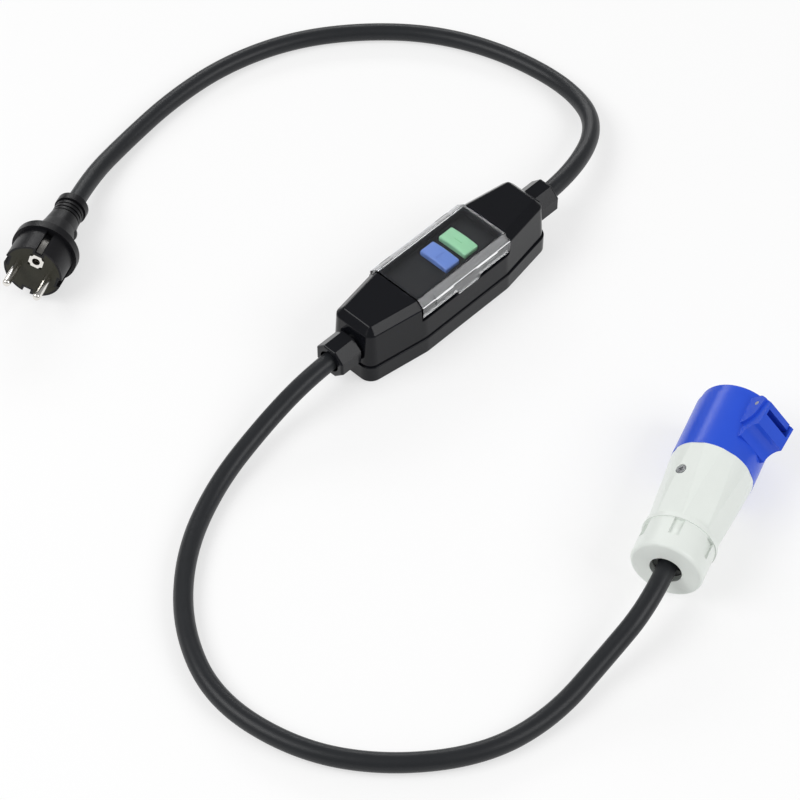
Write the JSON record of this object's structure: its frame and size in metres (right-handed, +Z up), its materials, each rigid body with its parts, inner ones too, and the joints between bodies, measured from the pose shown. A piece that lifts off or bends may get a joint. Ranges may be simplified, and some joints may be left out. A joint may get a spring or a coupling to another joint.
{
  "type": "rcd adapter plug",
  "caption": "In-line residual current device on a cord between an earthed mains plug and a round lidded camping connector, with sprung buttons under a clear cover.",
  "frame": {"origin": "bottom centre of the device's housing, on the surface that the whole adapter lies on", "axes": "+X along the housing toward the gland of the plug's cord, +Y toward the side of the cover's hinge, +Z up"},
  "size_m": [0.475, 0.488, 0.056],
  "materials": {
    "housing_black": "moulded, slightly glossy",
    "panel_black": "matt",
    "clear_plastic": "clear moulded polycarbonate",
    "button_blue": "satin",
    "button_green": "satin",
    "cable_sheath": "smooth rubber",
    "plug_rubber": "smooth rubber",
    "insert_plastic": "satin",
    "nickel": "bright nickel plate",
    "steel": "bright zinc plate",
    "brass": "drawn brass",
    "socket_blue": "moulded, glossy",
    "body_white": "moulded, satin",
    "seal_rubber": "soft",
    "board_green": "solder mask",
    "component_mix": "moulded cases",
    "frame_grey": "moulded",
    "ferrite": "coated core",
    "copper": "enamelled copper wire",
    "core_brown": "wire insulation",
    "core_blue": "wire insulation",
    "core_earth": "wire insulation, green and yellow",
    "core_mix": "wire insulation of three colours"
  },
  "bodies": {
    "adapter": {"housing_base": "housing_black", "housing_gasket": "seal_rubber", "housing_screws": "steel", "housing_top": "housing_black", "front_panel": "panel_black", "test_spring": "steel", "reset_spring": "steel", "cover_hinge_pin": "steel", "gland_nut_near": "housing_black", "gland_nut_far": "housing_black", "gland_seals": "seal_rubber", "cable_tails": "cable_sheath", "cable_clamps": "frame_grey", "clamp_screws": "steel", "circuit_board": "board_green", "board_components": "component_mix", "mechanism_frame": "frame_grey", "test_contact": "brass", "fixed_contacts": "brass", "sensing_core": "ferrite", "sensing_winding": "copper", "coil_bobbin": "frame_grey", "coil_winding": "copper", "live_wire_in": "core_brown", "live_wire_out": "core_brown", "neutral_wire_in": "core_blue", "neutral_wire_out": "core_blue", "earth_wire": "core_earth", "plug_body": "plug_rubber", "plug_insert": "insert_plastic", "plug_pins": "nickel", "earth_socket": "nickel", "earth_clips": "nickel", "plug_tail": "cable_sheath", "plug_wires": "core_mix", "connector_socket": "socket_blue", "contact_carrier": "socket_blue", "live_contacts": "brass", "earth_contact": "brass", "terminal_screws": "steel", "connector_body": "body_white", "connector_nut": "body_white", "clamp_ring": "body_white", "connector_seal": "seal_rubber", "connector_tail": "cable_sheath", "connector_wires": "core_mix", "connector_screw": "steel", "lid_hinge_pin": "steel", "lid_spring": "steel", "cord_plug_side": "cable_sheath", "cord_connector_side": "cable_sheath"},
    "cover": {"clear_cover": "clear_plastic"},
    "test_key": {"test_button": "button_blue"},
    "reset_key": {"reset_button": "button_green", "contact_carriage": "frame_grey"},
    "plunger": {"trip_plunger": "steel"},
    "socket_lid": {"connector_lid": "socket_blue", "lid_gasket": "seal_rubber"}
  },
  "joints": [
    {"name": "cover_hinge", "type": "hinge", "parent": "adapter", "child": "cover", "pos_m": [0, 0.0202, 0.033], "axis": [-1, 0, 0], "range_deg": [0, 100]},
    {"name": "test_press", "type": "slide", "parent": "adapter", "child": "test_key", "axis": [0, 0, -1], "range_m": [0, 0.002], "stiffness_N_per_m": 400, "springref_m": -0.003, "deforming": ["test_spring"]},
    {"name": "reset_press", "type": "slide", "parent": "adapter", "child": "reset_key", "axis": [0, 0, -1], "range_m": [0, 0.003], "stiffness_N_per_m": 400, "springref_m": -0.003, "deforming": ["reset_spring"]},
    {"name": "plunger_slide", "type": "slide", "parent": "adapter", "child": "plunger", "axis": [-1, 0, 0], "range_m": [0, 0.002]},
    {"name": "lid_hinge", "type": "hinge", "parent": "adapter", "child": "socket_lid", "pos_m": [0.03592, -0.21481, 0.0418], "axis": [0.2321, -0.6276, -0.7431], "range_deg": [0, 90], "stiffness_Nm_per_rad": 0.02, "springref_deg": -34.38}
  ]
}
